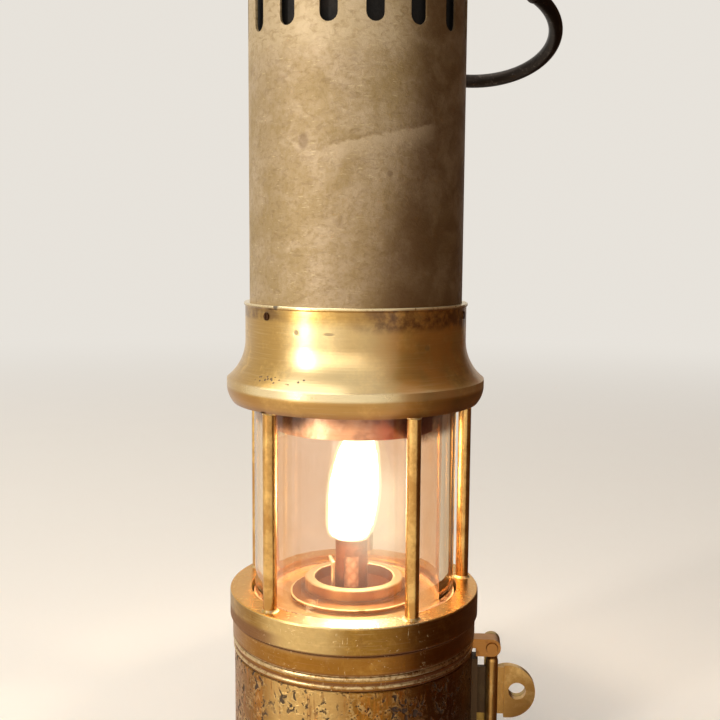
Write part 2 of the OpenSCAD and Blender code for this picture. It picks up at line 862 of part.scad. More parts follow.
module hasp_lug() {
    lug_top_z = hasp_pivot_z + knuckle_r;
    lug_foot_z = hasp_pivot_z - knuckle_r;
    lug_inner_x = vessel_r + lug_gap;
    color("peru")
        at_lock()
            difference() {
                lock_plate(-lug_w, lug_w + ear_back_y) {
                    translate([ring_foot_r - 1, ring_z + side_gap])
                        square([hasp_pivot_x - ring_foot_r + 1, lug_top_z - ring_z - side_gap]);
                    translate([lug_inner_x, lug_foot_z])
                        square([hasp_pivot_x - lug_inner_x, 2 * knuckle_r]);
                    translate([hasp_pivot_x, hasp_pivot_z])
                        circle(r = knuckle_r);
                }
                rotate([0, 0, -lock_angle])
                    cylinder(r = ring_foot_r, h = ring_top_z);
                rotate([0, 0, -lock_angle])
                    rotate_extrude()
                        bead_sections();
                translate([hasp_pivot_x, 0, hasp_pivot_z])
                    rotate([90, 0, 0])
                        cylinder(r = hasp_pin_r + run_gap, h = 4 * lug_w, center = true);
            }
}

module hasp_pin() {
    head_r = hasp_pin_r + 0.5;
    head_t = 0.6;
    head_edge = 0.2;
    pin_back_y = hasp_y + hasp_t + 2 * seat_gap;
    color("dimgray")
        at_lock()
            translate([hasp_pivot_x, 0, hasp_pivot_z])
                rotate([-90, 0, 0]) {
                    translate([0, 0, -lug_w])
                        cylinder(r = hasp_pin_r, h = pin_back_y + lug_w);
                    translate([0, 0, -lug_w - head_t])
                        cylinder(r1 = head_r - head_edge, r2 = head_r, h = head_t);
                    translate([0, 0, pin_back_y])
                        cylinder(r1 = head_r, r2 = head_r - head_edge, h = head_t);
                }
}

module hasp() {
    strap_x = hasp_pivot_x - strap_w / 2;
    strap_foot_z = ear_z - strap_drop;
    color("peru")
        at_lock()
            difference() {
                lock_plate(hasp_y, hasp_t) {
                    translate([hasp_pivot_x, hasp_pivot_z])
                        circle(r = knuckle_r);
                    translate([strap_x, strap_foot_z])
                        square([strap_w, hasp_pivot_z - strap_foot_z]);
                    translate([vessel_r + 1.9, strap_foot_z])
                        square([strap_x - vessel_r, strap_toe_h]);
                    translate([hasp_pivot_x, ear_z - hasp_ear_r + 1])
                        square([ear_x - hasp_pivot_x, 2 * hasp_ear_r - 2]);
                    translate([ear_x, ear_z])
                        circle(r = hasp_ear_r);
                }
                translate([hasp_pivot_x, 0, hasp_pivot_z])
                    rotate([90, 0, 0])
                        cylinder(r = hasp_pin_r + run_gap, h = hole_depth, center = true);
                translate([hole_x, 0, hole_z])
                    rotate([90, 0, 0])
                        cylinder(r = rivet_hole_r, h = hole_depth, center = true);
            }
}

module vessel_ear() {
    bar_foot_z = foot_h + 3;
    bar_top_z = hasp_pivot_z - knuckle_r - 0.6;
    ear_flat_x = hasp_pivot_x + strap_w;
    color("goldenrod")
        at_lock()
            difference() {
                union() {
                    translate([vessel_r - 1, ear_back_y - pad_w, ear_z - pad_h / 2])
                        cube([1 + pad_t, pad_w, pad_h]);
                    lock_plate(ear_back_y - ear_web_t, ear_web_t)
                        translate([vessel_r - 1, ear_z - ear_r + 1])
                            square([ear_x - vessel_r + 1, 2 * ear_r - 2]);
                    lock_plate(ear_back_y - ear_t, ear_t)
                        intersection() {
                            translate([ear_x, ear_z])
                                circle(r = ear_r);
                            translate([ear_flat_x, ear_z - 2 * ear_r])
                                square([3 * ear_r, 4 * ear_r]);
                        }
                    translate([hasp_pivot_x + 0.25, 0, bar_foot_z])
                        cylinder(r = ear_bar_r, h = bar_top_z - bar_foot_z - ear_bar_r);
                    translate([hasp_pivot_x + 0.25, 0, bar_top_z - ear_bar_r])
                        sphere(r = ear_bar_r);
                }
                translate([0, 0, -1])
                    cylinder(r = vessel_r, h = ring_z + 1);
                translate([hole_x, 0, hole_z])
                    rotate([90, 0, 0])
                        cylinder(r = rivet_hole_r, h = hole_depth, center = true);
            }
}

oil_vessel();
vessel_base();
vessel_neck();
burner_flange();
burner_cup();
wick_tube();
wick();
pricker_tube();
pricker_knob();
pricker_rod();
vessel_ear();
lower_glass_washer();
lamp_glass();
upper_glass_washer();
gauze_ring();
outer_gauze();
inner_gauze();
lower_frame_ring();
for (i = [1:pillar_n])
    pillar(i - 1);
shield_collar();
bonnet_tube();
bonnet_crown();
bonnet_screws();
swivel_eye();
swivel_washer();
swivel_nut();
hook();
hasp_lug();
hasp_pin();
hasp();
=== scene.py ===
"""A miner's flame safety lamp: its finishes, small parts, flame and stage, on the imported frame."""

import math

import bmesh
import bpy
from mathutils import Matrix, Vector


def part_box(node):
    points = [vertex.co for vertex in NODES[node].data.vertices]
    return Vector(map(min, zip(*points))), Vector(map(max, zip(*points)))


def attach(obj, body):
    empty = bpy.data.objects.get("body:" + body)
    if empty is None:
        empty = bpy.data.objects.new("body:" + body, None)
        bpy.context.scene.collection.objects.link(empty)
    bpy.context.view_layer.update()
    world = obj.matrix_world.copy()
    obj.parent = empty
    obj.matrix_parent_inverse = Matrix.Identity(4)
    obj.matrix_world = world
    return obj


bl_info = {
    "name": "Miners lamp",
    "version": (1, 0, 0),
    "blender": (4, 5, 0),
    "location": "3D View > Sidebar > Miners lamp",
    "description": "Finishes and small parts of a flame safety lamp",
    "category": "Add Mesh",
}

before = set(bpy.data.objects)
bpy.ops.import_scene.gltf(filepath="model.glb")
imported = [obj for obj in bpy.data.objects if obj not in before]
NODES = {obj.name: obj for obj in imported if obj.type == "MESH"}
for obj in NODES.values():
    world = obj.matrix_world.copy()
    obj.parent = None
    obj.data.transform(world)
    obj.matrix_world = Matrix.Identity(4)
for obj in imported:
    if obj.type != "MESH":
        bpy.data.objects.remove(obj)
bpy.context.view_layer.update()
MM = 0.001


def tone(code):
    """A hex colour as Blender's linear numbers."""
    parts = [int(code[i : i + 2], 16) / 255 for i in (0, 2, 4)]
    return tuple(c / 12.92 if c <= 0.04045 else ((c + 0.055) / 1.055) ** 2.4 for c in parts)


def colour_setting(name, description, code):
    """A colour that a user can change."""
    return bpy.props.FloatVectorProperty(
        name=name, description=description, subtype="COLOR", size=3, min=0.0, max=1.0, default=tone(code)
    )


def length_setting(name, description, millimetres):
    """A length that a user can change, given in millimetres."""
    return bpy.props.FloatProperty(
        name=name, description=description, unit="LENGTH", min=0.0, max=2.0, default=millimetres * MM
    )


class LampColours(bpy.types.PropertyGroup):
    """Colours of the lamp's finishes."""

    pale_brass: colour_setting("Pale brass", "Rubbed brass on edges and beads", "f6e2b2")
    gold_brass: colour_setting("Gold brass", "Handled brass", "dfb462")
    olive_brass: colour_setting("Olive brass", "Dulled brass between the handled places", "ae8c48")
    brown_brass: colour_setting("Brown brass", "Tarnish on the brass", "6a3a14")
    warm_brass: colour_setting("Warm brass", "Brass inside the glass", "ecd09c")
    red_brass: colour_setting("Red brass", "Brass that the flame has heated", "5a1c08")
    pit: colour_setting("Pits", "Dirt in the oil vessel's pits", "2a180b")
    pale_tin: colour_setting("Pale tin", "The bonnet's sheet where it is cleanest", "b29c7c")
    gold_tin: colour_setting("Gold tin", "The bonnet's sheet where the tin is thin", "937a48")
    brown_tin: colour_setting("Brown tin", "Tarnish on the bonnet's sheet", "5c3d1c")
    soot: colour_setting("Soot", "Soot inside the bonnet and on the gauzes", "0f0b08")
    iron: colour_setting("Iron", "Hook and swivel", "2a231e")
    glass: colour_setting("Glass", "Tint of the lamp glass", "fff4e6")
    leather: colour_setting("Leather", "Washers at the ends of the glass", "b08054")
    cotton: colour_setting("Cotton", "The wick below its charred end", "f0bd95")
    flame: colour_setting("Flame", "The flame's body", "fff8ea")
    mantle: colour_setting("Mantle", "The glow round the flame", "ffe2b0")


class LampSizes(bpy.types.PropertyGroup):
    """Sizes of what this file adds to the frame."""

    gauze_pitch: length_setting("Gauze pitch", "From wire to wire of the gauzes", 0.9)
    seam_rivet: length_setting("Seam rivet", "Radius of the rivet heads along the bonnet's seam", 1.3)
    fillet: length_setting("Fillet", "Width of the solder round the feet of the pillars", 0.7)
    lens: bpy.props.FloatProperty(
        name="Lens", description="Focal length of the camera, in millimetres", min=10.0, max=200.0, default=50.65
    )


class Signal:
    """One shader socket. Python's operators on it add Math nodes."""

    def __init__(self, finish, socket):
        self.finish = finish
        self.socket = socket

    def maths(self, operation, *values):
        return self.finish.node("ShaderNodeMath", {"operation": operation}, dict(enumerate(values)))

    def __add__(self, other):
        return self.maths("ADD", self, other)

    def __sub__(self, other):
        return self.maths("SUBTRACT", self, other)

    def __rsub__(self, other):
        return self.maths("SUBTRACT", other, self)

    def __mul__(self, other):
        return self.maths("MULTIPLY", self, other)

    def __truediv__(self, other):
        return self.maths("DIVIDE", self, other)

    def __pow__(self, other):
        return self.maths("POWER", self, other)

    def __abs__(self):
        return self.maths("ABSOLUTE", self)

    __radd__ = __add__
    __rmul__ = __mul__


class Finish:
    """The nodes of one material or of the world. Its places are in millimetres, in the lamp's own frame."""

    def __init__(self, name, world=False):
        self.owner = (bpy.data.worlds if world else bpy.data.materials).new(name)
        self.owner.use_nodes = True
        self.tree = self.owner.node_tree
        self.tree.nodes.clear()
        self.end = self.tree.nodes.new("ShaderNodeOutputWorld" if world else "ShaderNodeOutputMaterial")
        if world:
            return
        there = self.node("ShaderNodeTexCoord", None, None, "Object")
        self.spot = self.scaled(there, (1 / MM, 1 / MM, 1 / MM))
        self.x, self.y, self.z = (self.node("ShaderNodeSeparateXYZ", None, {0: self.spot}, i) for i in range(3))
        self.radius = (self.x * self.x + self.y * self.y) ** 0.5
        self.turn = self.x.maths("ARCTAN2", self.x, self.y * -1.0)

    def node(self, kind, settings=None, sockets=None, output=0):
        """Adds one node, with its settings first, and gives one of its outputs."""
        made = self.tree.nodes.new(kind)
        for name, value in (settings or {}).items():
            setattr(made, name, value)
        for key, value in (sockets or {}).items():
            if isinstance(value, Signal):
                self.tree.links.new(value.socket, made.inputs[key])
            elif made.inputs[key].type == "RGBA":
                made.inputs[key].default_value = (*value, 1.0)
            else:
                made.inputs[key].default_value = value
        return Signal(self, made.outputs[output])

    def scaled(self, vector, by):
        """A vector times a vector."""
        return self.node("ShaderNodeVectorMath", {"operation": "MULTIPLY"}, {0: vector, 1: by})

    def mixed(self, factor, first, second):
        """Two colours mixed."""
        return self.node("ShaderNodeMix", {"data_type": "RGBA"}, {0: factor, 6: first, 7: second}, 2)

    def clouds(self, size, detail=4.0, stretch=None, rough=0.55, twist=0.0):
        """Noise with features of about this size in millimetres, from 0 to 1. stretch is its pull on each axis."""
        vector = self.scaled(self.spot, stretch) if stretch else self.spot
        sockets = {"Vector": vector, "Scale": 1 / size, "Detail": detail, "Roughness": rough}
        return self.node("ShaderNodeTexNoise", None, {**sockets, "Distortion": twist})

    def cells(self, size, stretch=None):
        """Distance from the middle of random cells of about this size in millimetres."""
        vector = self.scaled(self.spot, stretch) if stretch else self.spot
        return self.node("ShaderNodeTexVoronoi", None, {"Vector": vector, "Scale": 1 / size})

    def step(self, value, low, high):
        """0 up to low and 1 from high, with a smooth rise between them. It falls where low is the larger."""
        sockets = {"Value": value, 1: low, 2: high, 3: 0.0, 4: 1.0}
        if low > high:
            sockets = {"Value": value, 1: high, 2: low, 3: 1.0, 4: 0.0}
        return self.node("ShaderNodeMapRange", {"interpolation_type": "SMOOTHSTEP"}, sockets)

    def band(self, value, low, high, soft):
        """1 between low and high, with soft ends."""
        return self.step(value, low - soft, low) * self.step(value, high + soft, high)

    def near(self, place, reach, flat=1.0):
        """1 at a place and 0 from reach on, in millimetres. flat squeezes the mark's height."""
        pull = (1.0, 1.0, flat)
        middle = tuple(a * b for a, b in zip(place, pull))
        gap = self.node("ShaderNodeVectorMath", {"operation": "DISTANCE"}, {0: self.scaled(self.spot, pull), 1: middle}, 1)
        return self.step(gap, reach, reach * 0.45)

    def larger(self, first, second):
        """The larger of two values."""
        return first.maths("MAXIMUM", first, second)

    def close(self, colour, roughness, metallic=1.0, relief=None, depth=0.1, **fixed):
        """Ends the material in one shader. relief runs from 0 to 1 and is depth millimetres high."""
        sockets = {"Base Color": colour, "Roughness": roughness, "Metallic": metallic}
        if relief is not None:
            bump = {"Strength": 1.0, "Distance": depth * MM, "Height": relief}
            sockets["Normal"] = self.node("ShaderNodeBump", None, bump)
        sockets.update({name.replace("_", " "): value for name, value in fixed.items()})
        return self.show(self.node("ShaderNodeBsdfPrincipled", None, sockets))

    def show(self, shader):
        """Links a shader to the output and gives the material."""
        self.tree.links.new(shader.socket, self.end.inputs["Surface"])
        return self.owner


def colours():
    """The colours of the panel."""
    return bpy.context.scene.lamp_colours


def sizes():
    """The sizes of the panel."""
    return bpy.context.scene.lamp_sizes


def wear(node, material):
    """Gives a CAD node its finish."""
    mesh = NODES[node].data
    mesh.materials.clear()
    mesh.materials.append(material)


def carry(name, mesh, material, body):
    """Adds a small piece that rides on a body."""
    piece = bpy.data.objects.new(name, mesh)
    bpy.context.scene.collection.objects.link(piece)
    mesh.materials.append(material)
    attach(piece, body)
    return piece


def turn_rings(shape, rings, steps):
    """Adds a turned skin to a shape from (centre, radius) rings, whose ends may be points."""
    loops = []
    for centre, radius in rings:
        turns = [2 * math.pi * i / steps for i in range(steps if radius else 1)]
        points = [centre + radius * Vector((math.cos(a), math.sin(a), 0.0)) for a in turns]
        loops.append([shape.verts.new(point * MM) for point in points])
    for lower, upper in zip(loops, loops[1:]):
        for i in range(steps):
            corners = [lower[i % len(lower)], lower[(i + 1) % steps % len(lower)]]
            corners += [upper[(i + 1) % steps % len(upper)], upper[i % len(upper)]]
            shape.faces.new(list(dict.fromkeys(corners)))


def finished(shape, name):
    """Ends a shape as a smooth mesh."""
    bmesh.ops.recalc_face_normals(shape, faces=shape.faces)
    mesh = bpy.data.meshes.new(name)
    shape.to_mesh(mesh)
    shape.free()
    mesh.shade_smooth()
    return mesh


def brass_ground(f, light, dull, cover=0.5, stain=0.4, lathe=0.5):
    """Brass as it ages: light where it is handled, dull between, brown in drifts, with fine turning lines.
    cover is how much of it is light, stain how much is brown, and lathe how strong the lines are."""
    broad = f.clouds(13.0, 5.0, twist=0.5)
    fine = f.clouds(1.3, 6.0, rough=0.7)
    drift = f.clouds(5.0, 5.0, rough=0.62)
    handled = f.step(broad * 0.7 + fine * 0.3, 0.66 - cover * 0.32, 0.86 - cover * 0.32)
    tarnish = f.step(drift * 0.62 + fine * 0.38, 0.66 - stain * 0.22, 0.84 - stain * 0.22)
    lines = f.clouds(0.42, 3.0, (0.03, 0.03, 1.0), 0.6)
    tint = f.mixed(handled, dull, light)
    tint = f.mixed(tarnish * 0.6, tint, colours().brown_brass)
    tint = f.mixed(f.step(lines, 0.5, 0.72) * (0.3 * lathe), tint, colours().brown_brass)
    tint = f.mixed(f.step(lines, 0.46, 0.3) * (0.35 * lathe), tint, colours().pale_brass)
    return tint, tarnish, fine, lines


def aged_brass(name, cover=0.5, stain=0.4, lathe=0.4, gloss=0.3, light=None, dull=None):
    """Plain handled brass."""
    c, f = colours(), Finish(name)
    tint, tarnish, fine, lines = brass_ground(f, light or c.gold_brass, dull or c.olive_brass, cover, stain, lathe)
    rough = gloss + tarnish * 0.22 + (fine - 0.5) * 0.14
    return f.close(tint, rough, 1.0 - tarnish * 0.35, lines * (0.3 * lathe) + fine * 0.3, 0.1)


def collar_brass(name):
    """The collar: smooth pale gold with fine turning lines, a worn cream lip and ridge and brown stains, with a painted
    sheen and highlight at the front left and painted shade at the right.
    """
    c, f = colours(), Finish(name)
    tint, tarnish, fine, lines = brass_ground(f, tone("e4ba68"), tone("bf9750"), 0.6, 0.1, 0.4)
    # Painted sheen: a pale cream band on the front, where the soft lights reflect.
    sheen = f.band(f.turn, -0.44, 0.1, 0.3) * f.step(f.z, 148.5, 144.0) * f.step(f.z, 123.6, 125.4)
    tint = f.mixed(sheen * 0.5, tint, tone("f2dfae"))
    # Painted shade: a darker honey tint across the neck's front right.
    neck = f.step(f.z, 132.0, 139.0) * f.band(f.turn, -0.02, 0.9, 0.25)
    tint = f.mixed(neck * 0.45, tint, tone("a47c34"))
    foot_tint = f.step(f.z, 125.2, 123.4) * (0.4 + f.band(f.turn, -1.7, -0.85, 0.25) * 0.3)
    tint = f.mixed(foot_tint, tint, tone("a4702c"))
    # Painted shade: side tints the right of the collar orange-brown.
    side = f.band(f.turn, 0.6, 2.2, 0.7) * f.step(f.clouds(9.0, 5.0), 0.26, 0.6)
    # Under the lip: a brown stain at the left, and brown stain with painted shade across the right.
    under_lip_stain_and_shade = f.band(f.z, 147.6, 150.2, 1.6) * f.band(f.turn, -1.3, -0.8, 0.25) * 0.75
    under_lip_stain_and_shade = f.larger(under_lip_stain_and_shade, f.band(f.z, 146.0, 150.2, 3.2) * f.band(f.turn, 0.3, 1.7, 0.5))
    under_lip_stain_and_shade = under_lip_stain_and_shade * f.step(f.clouds(4.0, 5.0, rough=0.65), 0.28, 0.62)
    tint = f.mixed(side * 0.45, tint, tone("d08434"))
    # Painted shade: the right end of the foot goes dark brown.
    tint = f.mixed(f.step(f.z, 125.2, 123.4) * f.band(f.turn, 0.85, 2.0, 0.4) * 0.5, tint, tone("4a200c"))
    # The stain and painted shade under the lip.
    tint = f.mixed(under_lip_stain_and_shade * 0.8, tint, tone("4a200c"))
    # The lip and ridge are worn pale; the stronger pale along the ridge's front left is a painted highlight.
    ridge = f.band(f.z, 125.0, 126.6, 0.9)
    paler = f.larger(f.step(f.z, 150.3, 150.9), ridge * (0.22 + f.band(f.turn, -0.75, 0.1, 0.3) * 0.78))
    paler = paler * f.step(fine + f.clouds(6.0) * 0.5, 0.5, 0.66)
    tint = f.mixed(paler * 0.85, tint, c.pale_brass)
    foot = f.step(f.z, 121.6, 119.0)
    tint = f.mixed(foot * 0.5, tint, c.red_brass)
    marks = f.near((-23.8, -26.6, 151.0), 1.5)
    for place, reach, flat in (
        ((-26.8, -23.6, 148.4), 1.4, 1.0),
        ((-7.8, -34.8, 143.4), 2.2, 3.4),
        ((-17.6, -31.1, 143.6), 1.1, 1.0),
        ((21.6, -28.7, 139.1), 1.4, 1.2),
    ):
        marks = f.larger(marks, f.near(place, reach, flat) * 0.6)
    specks = f.step(f.cells(1.5) + (fine - 0.5) * 0.3, 0.34, 0.2) * f.band(f.z, 128.7, 130.1, 0.4)
    marks = f.larger(marks, specks * f.band(f.turn, -0.84, -0.4, 0.08))
    tint = f.mixed(marks * 0.85, tint, c.pit)
    rough = 0.31 + tarnish * 0.2 + side * 0.12 + marks * 0.3 - paler * 0.08 + (fine - 0.5) * 0.1
    relief = lines * 0.14 + fine * 0.22 - marks * 0.7
    metal = 1.0 - f.larger(tarnish * 0.3, marks * 0.8)
    # Less metal down the right side, with its painted shade.
    metal = metal * (0.92 - f.band(f.turn, 0.6, 2.2, 0.7) * 0.14)
    coat = 0.8 - f.step(abs(f.turn), 0.5, 0.95) * 0.6
    return f.close(tint, rough, metal, relief, 0.1, Coat_Weight=coat, Coat_Roughness=0.19)


def ring_brass(name):
    """The frame ring: a bright top painted paler at the front, a mottled and nicked wall with a painted highlight at
    the front left, dirt in the corners with painted shade under the flange and at the right, and worn beads.
    """
    c, f = colours(), Finish(name)
    tint, tarnish, fine, lines = brass_ground(f, tone("c4984a"), tone("946e30"), 0.42, 0.5, 0.35)
    blotch = f.step(f.clouds(2.6, 6.0, rough=0.72, twist=0.5), 0.46, 0.72)
    tint = f.mixed(blotch * 0.22, tint, c.gold_brass)
    # handled here is a painted highlight, partly handling wear: a paler band high on the wall's front left.
    handled = f.band(f.turn, -0.6, -0.26, 0.28) * f.step(f.z, 46.0, 48.6) * (0.6 + fine * 0.5)
    tint = f.mixed(handled * 0.6, tint, tone("ebce90"))
    tint = f.mixed(f.step(f.z, 47.8, 47.2) * 0.35, tint, tone("985a1c"))
    # Dirt in the joints and grooves, with painted shade in the corner under the flange, deepest at the left.
    left = f.band(f.turn, -1.5, -0.75, 0.25)
    grime_and_shade = f.larger(f.band(f.z, 48.6, 51.4, 1.6) * left, f.band(f.z, 47.6, 48.5, 0.5))
    grime_and_shade = f.larger(grime_and_shade, f.band(f.z, 41.6, 42.2, 0.3) * 0.7)
    grime_and_shade = f.larger(grime_and_shade, f.step(f.z, 37.5, 36.9))
    grime_and_shade = f.larger(grime_and_shade, f.band(f.z, 38.6, 39.2, 0.25))
    tint = f.mixed(grime_and_shade * (0.55 + fine * 0.4), tint, c.brown_brass)
    # Painted shade: the right side goes dark brown.
    side = f.band(f.turn, 0.5, 2.3, 0.45)
    tint = f.mixed(side * 0.6, tint, tone("5a2a10"))
    scratch = f.step(f.clouds(0.5, 3.0, (1.0, 1.0, 0.14)), 0.63, 0.7) * f.step(f.clouds(6.0), 0.52, 0.62)
    nicks = f.step(f.clouds(0.8, 4.0, (0.5, 0.5, 1.0), twist=1.0), 0.62, 0.7) * f.step(f.clouds(5.0, 3.0), 0.5, 0.6)
    scratch = f.larger(scratch, nicks) * f.band(f.turn, -0.7, 0.5, 0.3)
    beads = f.larger(f.band(f.z, 40.0, 41.4, 0.3), f.band(f.z, 37.6, 38.4, 0.25)) * 0.5
    beads = beads * f.step(fine + f.clouds(7.0) * 0.4, 0.5, 0.76)
    # The top face is bright brass, painted paler still at the front as the flame's light on it.
    top = f.step(f.z, 56.4, 56.9)
    bright = f.larger(f.larger(scratch * 0.7, beads), top * 0.75)
    top_tint_lit_front = f.mixed(f.band(f.turn, -0.4, 0.4, 0.3), tone("ecb054"), tone("f4d8a4"))
    tint = f.mixed(bright, tint, f.mixed(top, c.pale_brass, top_tint_lit_front))
    rough = 0.34 + tarnish * 0.18 + grime_and_shade * 0.2 - bright * 0.12 + (fine - 0.5) * 0.16
    relief = lines * 0.1 + fine * 0.35 - scratch * 0.3 + blotch * 0.15
    return f.close(tint, rough, 1.0 - f.larger(tarnish * 0.35, grime_and_shade * 0.5) * (1.0 - top), relief, 0.13)


def pitted_brass(name):
    """The oil vessel: corroded in dark pits with bright rims, and streaked orange and brown down its sides, with a
    painted highlight at the front left and painted shade at the right.
    """
    c, f = colours(), Finish(name)
    tint, tarnish, fine, lines = brass_ground(f, tone("c4924a"), tone("8a5e24"), 0.42, 0.5, 0.2)
    streak = f.clouds(1.6, 4.0, (1.0, 1.0, 0.1), 0.6)
    tint = f.mixed(f.step(streak, 0.5, 0.62) * 0.5, tint, tone("c07c30"))
    # handled here is a painted highlight, partly handling wear: a paler band on the front left.
    handled = f.band(f.turn, -0.6, -0.2, 0.25) * (0.5 + fine * 0.6)
    tint = f.mixed(handled * 0.6, tint, tone("ecc884"))
    tint = f.mixed(f.step(streak + (f.clouds(9.0) - 0.5) * 0.6, 0.56, 0.7) * 0.6, tint, tone("5c2c14"))
    gathered = f.step(f.clouds(8.0, 3.0, twist=0.6), 0.4, 0.54)
    ragged = f.clouds(1.9, 4.0, (1.0, 1.0, 0.85), 0.45, 0.5)
    pits = f.step(ragged, 0.56, 0.65) * gathered
    pits = f.larger(pits, f.step(f.cells(1.3) + (fine - 0.5) * 0.6, 0.22, 0.12) * f.step(gathered, 0.1, 0.8))
    rims = f.band(ragged, 0.49, 0.54, 0.06) * gathered * f.step(f.clouds(2.4), 0.4, 0.6)
    tint = f.mixed(rims * 0.35, tint, tone("e6c88a"))
    # Painted shade: the right side goes dark brown.
    side = f.band(f.turn, 0.5, 2.3, 0.45)
    tint = f.mixed(side * 0.7, tint, tone("4a220e"))
    tint = f.mixed(pits * 0.92, tint, c.pit)
    rough = 0.36 + tarnish * 0.18 + pits * 0.35 - rims * 0.06
    relief = fine * 0.3 + rims * 0.25 - pits * 1.0 + lines * 0.05
    return f.close(tint, rough, 1.0 - f.larger(tarnish * 0.35, pits * 0.85), relief, 0.3)


def ear_brass(name):
    """The vessel's ear: worn gold outside, with painted shade in the corner by the vessel."""
    c, f = colours(), Finish(name)
    tint, tarnish, fine, lines = brass_ground(f, tone("e8c27c"), tone("bb8e4e"), 0.55, 0.4, 0.1)
    # Painted shade: the ear goes dark brown in the corner by the vessel.
    corner_shade = f.step(f.radius, 45.6, 44.2)
    tint = f.mixed(corner_shade * 0.85, tint, tone("2e1a0c"))
    rough = 0.34 + tarnish * 0.2 + corner_shade * 0.25 + (fine - 0.5) * 0.14
    return f.close(tint, rough, 1.0 - f.larger(tarnish * 0.35, corner_shade * 0.6), fine * 0.3 + lines * 0.05, 0.1)


def burner_brass(name):
    """Turned brass under the flame: peach and cream on its edges, reddened inside the cup, with painted shade and
    painted reflections on the cup's wall and flange.
    """
    c, f = colours(), Finish(name)
    tint, tarnish, fine, lines = brass_ground(f, c.warm_brass, tone("d2ae78"), 0.7, 0.08, 0.4)
    inside = f.step(f.radius, 13.7, 13.2) * f.step(f.z, 55.8, 56.2)
    tint = f.mixed(inside * 0.94, tint, c.red_brass)
    # Painted shade and painted reflections: the cup's outer wall and the flange darken, in upright bands on the wall.
    wall = f.step(f.radius, 16.1, 16.3) * (0.36 + f.step(f.clouds(7.0, 2.0, (1.0, 1.0, 0.1)), 0.36, 0.64) * 0.45)
    flange = f.step(f.radius, 16.3, 16.8) * f.step(f.z, 57.4, 57.0)
    tint = f.mixed(wall, tint, tone("96683a"))
    tint = f.mixed(flange * 0.9, tint, tone("70401c"))
    flange_edge = f.step(f.radius, 20.7, 20.9) * f.step(f.z, 55.2, 55.5)
    tint = f.mixed(flange_edge * 0.8, tint, c.pale_brass)
    rim = f.band(f.radius, 13.4, 16.2, 0.3) * f.step(f.z, 59.5, 60.0)
    tint = f.mixed(rim * 0.7, tint, c.pale_brass)
    notch = f.near((2.4, -21.2, 55.6), 1.5)
    tint = f.mixed(notch * 0.8, tint, c.brown_brass)
    rough = 0.33 + tarnish * 0.2 + inside * 0.12 + flange * 0.18 + (fine - 0.5) * 0.14
    return f.close(tint, rough, 1.0 - inside * 0.3, lines * 0.18 + fine * 0.3 - notch * 0.5, 0.1)


def throat_brass(name):
    """The gauze ring that hangs in the glass, blushed and sooted by the flame, its pale pink partly the flame's light
    painted in, with painted shade at the right.
    """
    c, f = colours(), Finish(name)
    # The pale pink ground is partly heat tint and partly the flame's warm light painted in.
    tint, tarnish, fine, lines = brass_ground(f, tone("f8dac2"), tone("dcaa88"), 0.6, 0.15, 0.3)
    # Painted shade: side darkens the right to a deep red.
    side = f.band(f.turn, 0.4, 2.4, 0.5)
    blush = f.step(f.clouds(5.0, 4.0), 0.5, 0.62) * (0.3 + side * 0.2)
    tint = f.mixed(blush, tint, c.red_brass)
    tint = f.mixed(side * 0.7, tint, tone("943410"))
    tint = f.mixed(f.step(f.radius, 24.1, 23.7) * 0.6, tint, c.soot)
    rough = 0.36 + tarnish * 0.2 + (fine - 0.5) * 0.16
    return f.close(tint, rough, 1.0 - tarnish * 0.4, lines * 0.2 + fine * 0.35, 0.1)


def wick_tube_brass(name):
    """The wick tube: pink and brown from heat, with a sooty mouth."""
    c, f = colours(), Finish(name)
    tint, tarnish, fine, lines = brass_ground(f, tone("d9966e"), tone("9c5c3c"), 0.5, 0.4, 0.2)
    mouth = f.step(f.z + fine * 2.0, 71.6, 73.8)
    tint = f.mixed(mouth * 0.6, tint, c.soot)
    tint = f.mixed(f.step(f.z, 64.0, 58.0) * 0.35, tint, c.red_brass)
    return f.close(tint, 0.36 + tarnish * 0.2 + mouth * 0.2, 1.0 - mouth * 0.5, fine * 0.4 + lines * 0.1, 0.12)


